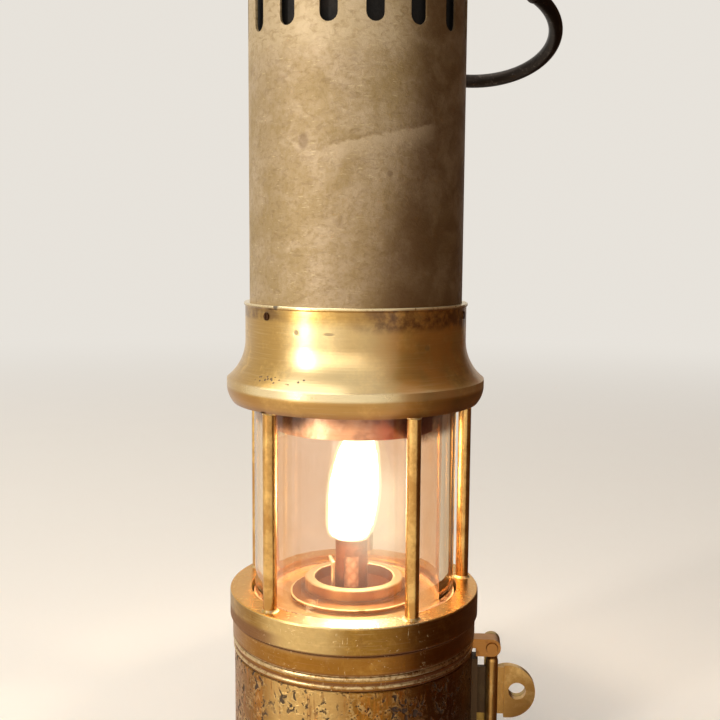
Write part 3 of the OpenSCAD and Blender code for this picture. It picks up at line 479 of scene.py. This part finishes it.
def tarnished_tin(name):
    """The bonnet's tinned sheet: pale beige, crumpled fine like leather, golden where it is thin and sooty within, with
    painted shade at the right and a painted highlight and shadow along the crease.
    """
    c, f = colours(), Finish(name)
    broad = f.clouds(30.0, 4.0, twist=0.7)
    patch = f.clouds(9.0, 5.0, rough=0.6, twist=0.4)
    crumple = f.clouds(1.5, 6.0, rough=0.72)
    creased = f.clouds(2.6, 4.0, (0.7, 0.7, 1.3), 0.6, 1.2)
    ticks = f.clouds(0.9, 3.0, (0.3, 0.3, 1.5), 0.6)
    tint = f.mixed(f.step(broad * 0.5 + patch * 0.5, 0.42, 0.6) * 0.6, c.pale_tin, c.gold_tin)
    tint = f.mixed(f.step(crumple, 0.44, 0.62) * 0.4, tint, c.gold_tin)
    tint = f.mixed(f.step(creased, 0.5, 0.66) * 0.2, tint, c.brown_tin)
    tint = f.mixed(f.step(ticks, 0.62, 0.72) * 0.25, tint, c.pale_brass)
    # A paler band high on the sheet, between the slots.
    paler = f.band(f.z, 230.0, 262.0, 9.0) * f.step(f.turn, 0.8, 0.3) * f.step(creased, 0.32, 0.58)
    tint = f.mixed(paler * 0.55, tint, tone("cdb894"))
    low = f.step(f.z, 215.0, 150.0)
    tint = f.mixed(low * 0.4 * f.step(f.turn, -0.6, 0.3), tint, tone("7c5c34"))
    # Painted shade: side turns the right side brown.
    side = f.band(f.turn + low * 0.3, 0.72, 2.4, 0.45) * (0.6 + f.step(patch, 0.26, 0.66) * 0.4)
    side = side * f.step(f.radius, 14.0, 33.0)
    tint = f.mixed(side * 0.84, tint, c.brown_tin)
    # The crease: a painted highlight on the ledge below it and a painted shadow line above it.
    rise = f.z - (199.5 + f.turn * 7.5) + (creased - 0.5) * 3.0
    across = f.band(f.turn, -0.15, 0.6, 0.2)
    ledge_highlight = f.step(rise, 0.5, -0.5) * f.step(rise, -7.0, -1.0) * across
    shadow = f.band(rise, 0.3, 1.1, 0.7) * across
    tint = f.mixed(ledge_highlight * 0.5, tint, tone("c4ae8e"))
    tint = f.mixed(shadow * 0.1, tint, c.brown_tin)
    mark = f.larger(f.near((-15.6, -30.5, 199.2), 2.2, 0.7), f.near((9.6, -32.9, 190.0), 1.2))
    tint = f.mixed(mark * 0.45, tint, c.brown_tin)
    crown = f.step(f.z, 256.0, 262.0)
    tint = f.mixed(crown * 0.35, tint, c.brown_tin)
    within = f.step(f.radius, 33.7, 33.4) * f.step(f.z, 259.6, 258.6)
    tint = f.mixed(within * 0.95, tint, c.soot)
    rough = 0.56 + (patch - 0.5) * 0.15 + (crumple - 0.5) * 0.2 + within * 0.3
    relief = crumple * 0.55 + creased * 0.7 + patch * 0.4 + ledge_highlight * 0.35 - ticks * 0.1
    return f.close(tint, rough, 0.35 - within * 0.3, relief, 0.26)


def black_iron(name):
    """Forged iron, oiled black, grey where it rubs."""
    c, f = colours(), Finish(name)
    scale = f.clouds(3.0, 5.0)
    grain = f.clouds(0.7, 4.0)
    bare = f.step(scale * 0.5 + grain * 0.5, 0.54, 0.66)
    tint = f.mixed(bare * 0.5, c.iron, tone("6b625b"))
    return f.close(tint, 0.27 + scale * 0.18 - bare * 0.06, 0.8, grain * 0.4 + scale * 0.6, 0.1)


def lamp_glass(name):
    """Clear moulded glass with upright waves in its wall and faint smears, sooted at the top and darker there at the
    right and left with painted shade. It lets the flame's light out.
    """
    f = Finish(name)
    waves = f.clouds(3.4, 2.0, (1.0, 1.0, 0.04))
    smears = f.step(f.clouds(7.0, 5.0, (1.0, 1.0, 0.5), 0.65, 0.8), 0.5, 0.72)
    # Soot at the top of the glass, deepened at the right and left by painted shade from the collar.
    right = f.band(f.turn, 0.6, 1.9, 0.3)
    left = f.band(f.turn, -1.3, -0.62, 0.12)
    sides = f.larger(f.band(f.turn, 1.2, 2.0, 0.3), f.band(f.turn, -2.0, -1.2, 0.3))
    reach = f.z + right * 5.0 + left * 2.2 + (smears - 0.5) * 1.6
    soot = f.step(reach, 113.0, 117.0) * (0.4 + f.larger(right, left) * 0.5)
    wiped = f.mixed(smears * 0.3, tuple(colours().glass), tone("faeddc"))
    bump = f.node("ShaderNodeBump", None, {"Strength": 0.3, "Distance": 0.12 * MM, "Height": waves})
    sockets = {
        "Base Color": f.mixed(soot, f.mixed(sides, wiped, tone("f5dcb8")), tone("5e3418")),
        "Roughness": 0.015 + smears * 0.05,
        "IOR": 1.5,
        "Transmission Weight": 1.0,
        "Normal": bump,
    }
    clear = f.node("ShaderNodeBsdfPrincipled", None, sockets)
    through = f.node("ShaderNodeBsdfTransparent", None, {"Color": (0.95, 0.93, 0.91)})
    shadow = f.node("ShaderNodeLightPath", None, None, "Is Shadow Ray")
    return f.show(f.node("ShaderNodeMixShader", None, {0: shadow, 1: clear, 2: through}))


def wire_cloth(name):
    """Woven iron wire: square holes between round wires, sooty in places."""
    c, f = colours(), Finish(name)
    pitch = sizes().gauze_pitch / MM
    wires = round(2 * math.pi * 20.0 / pitch)
    across = f.turn * (wires / (2 * math.pi))
    across = abs(across.maths("FRACT", across) - 0.5)
    upward = f.z / pitch
    upward = abs(upward.maths("FRACT", upward) - 0.5)
    wire = f.larger(f.step(across, 0.2, 0.26), f.step(upward, 0.2, 0.26))
    soot = f.clouds(9.0, 4.0)
    tint = f.mixed(f.step(soot, 0.4, 0.62), c.soot, tone("4c4138"))
    return f.close(tint, 0.5 + soot * 0.2, 0.8, Alpha=wire)


def leather(name):
    """Oiled leather washer."""
    f = Finish(name)
    grain = f.clouds(0.9, 5.0)
    tint = f.mixed(f.step(grain, 0.35, 0.7), colours().leather, tone("7a5230"))
    return f.close(tint, 0.62 + grain * 0.2, 0.0, grain, 0.15)


def charred_wick(name):
    """Plaited cotton, lit peach through the slot, black and glowing at its tip."""
    f = Finish(name)
    across = f.turn * 4.0
    plait = abs((across + f.z * 0.8).maths("SINE", across + f.z * 0.8))
    plait = plait * abs((across - f.z * 0.8).maths("SINE", across - f.z * 0.8))
    fuzz = f.clouds(0.5, 3.0)
    char = f.step(f.z + f.clouds(1.5) * 2.0, 72.6, 74.2)
    ember = f.step(f.z + f.clouds(1.0) * 1.0, 74.0, 74.9)
    tint = f.mixed(plait * 0.6 + fuzz * 0.3, tone("c98256"), colours().cotton)
    tint = f.mixed(char, tint, colours().soot)
    glow = f.mixed(ember, (0.0, 0.0, 0.0), tone("ff7a2a"))
    return f.close(tint, 0.9, 0.0, plait * 0.8 + fuzz * 0.3, 0.3, Emission_Color=glow, Emission_Strength=2.0)


def steel_wire(name):
    """Bright drawn wire, blushed near the flame."""
    f = Finish(name)
    grain = f.clouds(0.8, 3.0, (1.0, 1.0, 0.2))
    tint = f.mixed(f.step(f.z, 50.0, 58.0) * (0.7 + grain * 0.3), tone("b8a894"), tone("fbe2bc"))
    return f.close(tint, 0.25 + grain * 0.2, 0.9, grain, 0.03)


def dark_shade_sheet(name):
    """Dark sheet, in blotches, that stands behind the bonnet's slots as painted shade."""
    c, f = colours(), Finish(name)
    drift, grain = f.clouds(6.0, 4.0), f.clouds(0.8, 4.0)
    tint = f.mixed(f.step(drift, 0.45, 0.65) * 0.5, c.soot, tone("2c231b"))
    return f.close(tint, 0.7 + grain * 0.2, 0.2, grain * 0.6 + drift * 0.4, 0.15)


def solder(name):
    """Old soft solder, grey over the brass."""
    f = Finish(name)
    grain = f.clouds(0.9, 4.0)
    tint = f.mixed(f.step(grain, 0.4, 0.62), colours().olive_brass, colours().pale_tin)
    return f.close(tint, 0.42 + grain * 0.2, 0.9, grain, 0.1)


def glowing(name, colour, strength, clear, beam=0.0):
    """Emission for the flame's body and for the painted glow round it and through the glass. clear is how much of it
    can be seen, and beam paints a brighter patch beside the flame.
    """
    f = Finish(name)
    lift = f.clouds(6.0, 2.0)
    beside = f.band(f.turn, 0.12, 0.34, 0.42) * f.band(f.z, 82.0, 94.0, 17.0) * beam
    tint = f.mixed(f.step(lift, 0.35, 0.65) * clear * 0.5, tuple(colour), tone("fffcf4"))
    tint = f.mixed(beside, tint, tone("fff2d6"))
    sockets = {"Base Color": (0.0, 0.0, 0.0), "Roughness": 1.0, "Emission Color": tint}
    sockets.update({"Emission Strength": strength, "Specular IOR Level": 0.0})
    if clear < 1.0:
        sockets["Alpha"] = clear * (0.96 + lift * 0.08) + beside * 0.16
    return f.show(f.node("ShaderNodeBsdfPrincipled", None, sockets))


class MINERS_LAMP_OT_stage(bpy.types.Operator):
    """Sets the floor, the dark cloth at the right, the soft lights, the world and the camera"""

    bl_idname = "miners_lamp.stage"
    bl_label = "Stage"

    ROOM = 0.92
    PALE = "f0ebe3"

    def execute(self, context):
        self.floor(context)
        self.dark_cloth(context)
        w = Finish("soft_room", world=True)
        strength = 0.4 + self.seen(w) * (self.ROOM - 0.4)
        w.show(w.node("ShaderNodeBackground", None, {"Color": tone(self.PALE), "Strength": strength}))
        context.scene.world = w.owner
        self.softbox(context, "key", (-0.95, -0.75, 0.42), (0.15, 0.75), 9.5, tone("fff8ee"))
        self.softbox(context, "front", (-0.42, -1.25, 0.5), (1.3, 0.7), 4.0, tone("fff6e8"))
        self.softbox(context, "top", (-0.5, 0.1, 1.3), (0.9, 0.9), 5.0, tone("fffaf2"))
        self.camera(context)
        context.scene.view_settings.view_transform = "Standard"
        return {"FINISHED"}

    def seen(self, finish):
        """1 for what the camera, metal and glass show."""
        kinds = ("Is Camera Ray", "Is Glossy Ray", "Is Transmission Ray")
        rays = [finish.node("ShaderNodeLightPath", None, None, kind) for kind in kinds]
        return finish.larger(finish.larger(rays[0], rays[1]), rays[2])

    def floor(self, context):
        """A wide pale floor that fades into the room far from the lamp."""
        sides, reach = 64, 4.0
        turns = [2 * math.pi * i / sides for i in range(sides)]
        mesh = bpy.data.meshes.new("studio_floor")
        mesh.from_pydata([(reach * math.cos(a), reach * math.sin(a), -0.0002) for a in turns], [], [list(range(sides))])
        f = Finish("pale_floor")
        dust = f.clouds(40.0, 4.0)
        far = f.step(f.radius, 250.0, 1500.0)
        near = f.mixed(dust * 0.3, tone("e2dcd3"), tone("d8d2c8"))
        sockets = {"Base Color": f.mixed(far, near, (0.0, 0.0, 0.0)), "Roughness": 0.8, "Specular IOR Level": 0.0}
        sockets["Emission Color"] = tone(self.PALE)
        sockets["Emission Strength"] = self.seen(f) * (0.34 + far * (self.ROOM - 0.34))
        mesh.materials.append(f.show(f.node("ShaderNodeBsdfPrincipled", None, sockets)))
        ground = bpy.data.objects.new("studio_floor", mesh)
        context.scene.collection.objects.link(ground)

    def dark_cloth(self, context):
        """Dark cloths beside the lamp, out of the picture, that the right side of the metal reflects."""
        f = Finish("dark_cloth")
        folds = f.clouds(60.0, 3.0)
        brown = f.close(f.mixed(folds, tone("54341c"), tone("6e4828")), 0.95, 0.0)
        for name, corners in (
            ("dark_curtain", [(0.55, -0.6, 0.0), (0.75, 1.3, 0.0), (0.75, 1.3, 1.1), (0.55, -0.6, 1.1)]),
            ("dark_mat", [(0.05, -0.05, 0.0), (0.55, -0.6, 0.0), (0.75, 1.3, 0.0), (0.1, 1.3, 0.0)]),
        ):
            mesh = bpy.data.meshes.new(name)
            mesh.from_pydata(corners, [], [[0, 1, 2, 3]])
            mesh.materials.append(brown)
            cloth = bpy.data.objects.new(name, mesh)
            cloth.visible_camera = cloth.visible_transmission = False
            cloth.visible_diffuse = cloth.visible_shadow = name == "dark_curtain"
            context.scene.collection.objects.link(cloth)

    def softbox(self, context, name, place, size, power, colour):
        """An area light that looks at the middle of the lamp."""
        light = bpy.data.lights.new(name, "AREA")
        light.shape, light.size, light.size_y = "RECTANGLE", size[0], size[1]
        light.energy, light.color = power, colour
        box = bpy.data.objects.new(name, light)
        box.location = place
        box.rotation_euler = (Vector(place) - Vector((0, 0, 0.14))).to_track_quat("Z", "Y").to_euler()
        box.visible_camera = False
        context.scene.collection.objects.link(box)

    def camera(self, context):
        """The photograph's view: a little above the collar, looking slightly down."""
        data = bpy.data.cameras.new("camera")
        data.lens, data.sensor_width, data.dof.use_dof = sizes().lens, 36.0, False
        data.clip_start = 0.01
        eye = bpy.data.objects.new("camera", data)
        pitch, yaw, roll = math.radians(90.0 - 6.73), math.radians(-0.253), math.radians(0.4)
        eye.matrix_world = (
            Matrix.Translation((0.0, -0.3287, 0.1708))
            @ Matrix.Rotation(yaw, 4, "Z")
            @ Matrix.Rotation(pitch, 4, "X")
            @ Matrix.Rotation(roll, 4, "Z")
        )
        context.scene.collection.objects.link(eye)
        context.scene.camera = eye


class MINERS_LAMP_OT_vessel(bpy.types.Operator):
    """Finishes the oil vessel, its base and its neck"""

    bl_idname = "miners_lamp.vessel"
    bl_label = "Oil vessel"

    def execute(self, context):
        wear("oil_vessel", pitted_brass("pitted_brass"))
        wear("vessel_base", aged_brass("base_brass", 0.35, 0.6, 0.6, 0.36))
        wear("vessel_neck", aged_brass("plate_brass", 0.75, 0.05, 0.5, 0.33, tone("f4dca4"), tone("e4c48c")))
        return {"FINISHED"}


class MINERS_LAMP_OT_burner(bpy.types.Operator):
    """Finishes the burner, the wick and the pricker"""

    bl_idname = "miners_lamp.burner"
    bl_label = "Burner and pricker"

    def execute(self, context):
        warm = burner_brass("burner_brass")
        for node in ("burner_flange", "burner_cup", "pricker_tube"):
            wear(node, warm)
        wear("wick_tube", wick_tube_brass("scorched_brass"))
        wear("wick", charred_wick("charred_cotton"))
        wear("pricker_rod", steel_wire("pricker_steel"))
        wear("pricker_knob", aged_brass("knob_brass", 0.7, 0.3, 0.3))
        return {"FINISHED"}


class MINERS_LAMP_OT_flame(bpy.types.Operator):
    """Lights the wick: a white flame in its warm glow, and its light"""

    bl_idname = "miners_lamp.flame"
    bl_label = "Flame"

    CORE = (
        (72.6, -1.2, 0.0), (72.9, -1.3, 5.2), (74.6, -1.9, 6.9), (79.6, -1.0, 7.9), (87.7, -0.3, 8.4),
        (94.1, 0.0, 8.0), (100.9, 0.7, 6.7), (106.0, 1.4, 5.2), (111.0, 2.0, 3.3), (115.5, 2.5, 1.4), (118.0, 2.8, 0.0),
    )
    GLOW = (
        (72.0, -0.6, 0.0), (73.0, -0.6, 5.4), (76.0, -0.4, 8.8), (82.0, 0.6, 10.6), (88.0, 1.4, 11.6), (94.0, 1.5, 11.2),
        (100.9, 1.4, 9.4), (107.0, 1.7, 7.2), (113.0, 2.2, 4.6), (118.0, 2.6, 2.0), (120.5, 2.8, 0.0),
    )
    # A painted glow that fills the glass round the flame.
    GLASS_GLOW = (
        (54.3, 0.0, 0.0), (54.3, 0.0, 27.6), (54.7, 0.0, 28.2), (66.0, 0.0, 28.2), (94.0, 0.0, 28.2), (105.2, 0.0, 28.2),
        (105.6, 0.0, 27.6), (105.6, 0.0, 0.0),
    )

    def execute(self, context):
        c = colours()
        edge = [(height, side, wide and wide + 0.9) for height, side, wide in self.CORE]
        # The glow and the haze in the glass are no lamps: emissive shells that paint the flame's glow around it and
        # through the glass.
        for name, outline, colour, strength, clear, beam in (
            ("flame_core", self.CORE, c.flame, 9.0, 1.0, 0.0),
            ("flame_edge", edge, c.mantle, 2.0, 0.42, 0.0),
            ("flame_glow", self.GLOW, c.mantle, 1.3, 0.09, 0.0),
            ("flame_glass_glow", self.GLASS_GLOW, tone("b57545"), 1.6, 0.19, 1.0),
        ):
            shape = bmesh.new()
            turn_rings(shape, [(Vector((side, 0.0, height)), wide) for height, side, wide in outline], 48)
            material = glowing(name, colour, strength, clear, beam)
            piece = carry(name, finished(shape, name), material, "vessel")
            rounded = piece.modifiers.new("rounded", "SUBSURF")
            rounded.levels = rounded.render_levels = 1
            piece.visible_shadow = False
            piece.visible_diffuse = False
        light = bpy.data.lights.new("flame_light", "POINT")
        light.energy, light.color, light.shadow_soft_size = 0.36, tone("ffeed6"), 0.007
        lamp = bpy.data.objects.new("flame_light", light)
        lamp.location = (0.0, 0.0, 0.088)
        context.scene.collection.objects.link(lamp)
        return {"FINISHED"}


class MINERS_LAMP_OT_glass(bpy.types.Operator):
    """Finishes the glass, its washers, the gauze ring and the two gauzes"""

    bl_idname = "miners_lamp.glass"
    bl_label = "Glass and gauzes"

    def execute(self, context):
        wear("lamp_glass", lamp_glass("blown_glass"))
        hide = leather("washer_leather")
        wear("lower_glass_washer", hide)
        wear("upper_glass_washer", hide)
        wear("gauze_ring", throat_brass("throat_brass"))
        cloth = wire_cloth("iron_gauze")
        wear("outer_gauze", cloth)
        wear("inner_gauze", cloth)
        return {"FINISHED"}


class MINERS_LAMP_OT_cage(bpy.types.Operator):
    """Finishes the frame ring, its pillars and the flared collar, and solders the pillars in"""

    bl_idname = "miners_lamp.cage"
    bl_label = "Frame"

    def execute(self, context):
        wear("lower_frame_ring", ring_brass("ring_brass"))
        rod = aged_brass("pillar_brass", 0.75, 0.28, 0.1, 0.22, tone("e9bd74"), tone("c08f4e"))
        for i in range(1, 6):
            wear(f"pillar_{i}", rod)
        wear("shield_collar", collar_brass("collar_brass"))
        self.solder_pillars()
        return {"FINISHED"}

    def solder_pillars(self):
        """A small fillet of solder at the foot and the head of each pillar."""
        width, shape = sizes().fillet / MM, bmesh.new()
        for i in range(1, 6):
            low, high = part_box(f"pillar_{i}")
            x, y = (low[0] + high[0]) / 2 / MM, (low[1] + high[1]) / 2 / MM
            radius = (high[0] - low[0]) / 2 / MM
            for level, up in ((57.0, 1.0), (119.2, -1.0)):
                curve = [(0.0, width), (0.12, width * 0.5), (0.4, width * 0.16), (0.75, 0.02)]
                rings = [(Vector((x, y, level + up * rise)), radius + out) for rise, out in curve]
                turn_rings(shape, rings, 24)
        carry("pillar_solder", finished(shape, "pillar_solder"), solder("soft_solder"), "frame")


class MINERS_LAMP_OT_bonnet(bpy.types.Operator):
    """Finishes the bonnet, its crown and screws, rivets its seam, and sets painted shade behind its slots"""

    bl_idname = "miners_lamp.bonnet"
    bl_label = "Bonnet"

    def execute(self, context):
        tin = tarnished_tin("tarnished_tin")
        wear("bonnet_tube", tin)
        wear("bonnet_crown", tin)
        wear("bonnet_screws", aged_brass("screw_brass", 0.4, 0.6, 0.1, 0.4, tone("8a5c2c"), tone("4e3016")))
        self.rivet_seam(tin)
        self.shade_slots()
        return {"FINISHED"}

    def shade_slots(self):
        """A dark sheet ring under the crown, behind the outlet slots: painted shade that keeps the slots black."""
        shape = bmesh.new()
        outer, wall, foot, head = 31.6, 0.5, 225.0, 260.8
        loop = [(outer, foot), (outer, head), (outer - wall, head), (outer - wall, foot), (outer, foot)]
        turn_rings(shape, [(Vector((0.0, 0.0, height)), wide) for wide, height in loop], 96)
        bmesh.ops.remove_doubles(shape, verts=shape.verts, dist=1e-6)
        mesh = finished(shape, "slot_shade_sheet")
        mesh.shade_flat()
        carry("slot_shade_sheet", mesh, dark_shade_sheet("dark_shade_sheet"), "frame")

    def rivet_seam(self, tin):
        """Domed rivet heads down the lap at the back of the tube."""
        radius, shape = sizes().seam_rivet / MM, bmesh.new()
        seam, surface, heads = math.radians(87.25), 34.72, 8
        for i in range(heads):
            dome = bmesh.new()
            curve = [(radius, -0.2), (radius, 0.12), (radius * 0.86, 0.4), (radius * 0.5, 0.62), (0.0, 0.7)]
            turn_rings(dome, [(Vector((0.0, 0.0, rise)), wide) for wide, rise in curve], 20)
            height = 158.0 + i * 9.6
            place = Matrix.Rotation(seam, 4, "Z") @ Matrix.Translation((surface * MM, 0.0, height * MM))
            dome.transform(place @ Matrix.Rotation(math.pi / 2, 4, "Y"))
            mesh = bpy.data.meshes.new("rivet")
            dome.to_mesh(mesh)
            dome.free()
            shape.from_mesh(mesh)
            bpy.data.meshes.remove(mesh)
        carry("seam_rivets", finished(shape, "seam_rivets"), tin, "frame")


class MINERS_LAMP_OT_hook(bpy.types.Operator):
    """Finishes the swivel and the hanging hook"""

    bl_idname = "miners_lamp.hook"
    bl_label = "Hook and swivel"

    def execute(self, context):
        iron = black_iron("oiled_iron")
        for node in ("swivel_eye", "swivel_washer", "swivel_nut", "hook"):
            wear(node, iron)
        return {"FINISHED"}


class MINERS_LAMP_OT_lock(bpy.types.Operator):
    """Finishes the two lock ears, the lug and the pin"""

    bl_idname = "miners_lamp.lock"
    bl_label = "Lock"

    def execute(self, context):
        wear("vessel_ear", ear_brass("ear_brass"))
        wear("hasp", aged_brass("hasp_brass", 0.4, 0.6, 0.1, 0.36))
        worn = aged_brass("lug_brass", 0.45, 0.6, 0.1, 0.36, tone("d8a360"), tone("aa763e"))
        wear("hasp_lug", worn)
        wear("hasp_pin", worn)
        return {"FINISHED"}


STEPS = (
    MINERS_LAMP_OT_stage,
    MINERS_LAMP_OT_vessel,
    MINERS_LAMP_OT_burner,
    MINERS_LAMP_OT_flame,
    MINERS_LAMP_OT_glass,
    MINERS_LAMP_OT_cage,
    MINERS_LAMP_OT_bonnet,
    MINERS_LAMP_OT_hook,
    MINERS_LAMP_OT_lock,
)


class VIEW3D_PT_miners_lamp(bpy.types.Panel):
    """Lists the steps and settings of the lamp"""

    bl_label = "Miners lamp"
    bl_idname = "VIEW3D_PT_miners_lamp"
    bl_space_type = "VIEW_3D"
    bl_region_type = "UI"
    bl_category = "Miners lamp"

    def draw(self, context):
        for group in (context.scene.lamp_colours, context.scene.lamp_sizes):
            for name in group.__annotations__:
                self.layout.prop(group, name)
        for step in STEPS:
            self.layout.operator(step.bl_idname)


CLASSES = (LampColours, LampSizes, *STEPS, VIEW3D_PT_miners_lamp)


def register():
    for item in CLASSES:
        bpy.utils.register_class(item)
    bpy.types.Scene.lamp_colours = bpy.props.PointerProperty(type=LampColours)
    bpy.types.Scene.lamp_sizes = bpy.props.PointerProperty(type=LampSizes)


def unregister():
    del bpy.types.Scene.lamp_sizes
    del bpy.types.Scene.lamp_colours
    for item in reversed(CLASSES):
        bpy.utils.unregister_class(item)


def main():
    """Registers the add-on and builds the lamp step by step."""
    register()
    for step in STEPS:
        group, name = step.bl_idname.split(".")
        getattr(getattr(bpy.ops, group), name)()


if __name__ == "__main__":
    main()
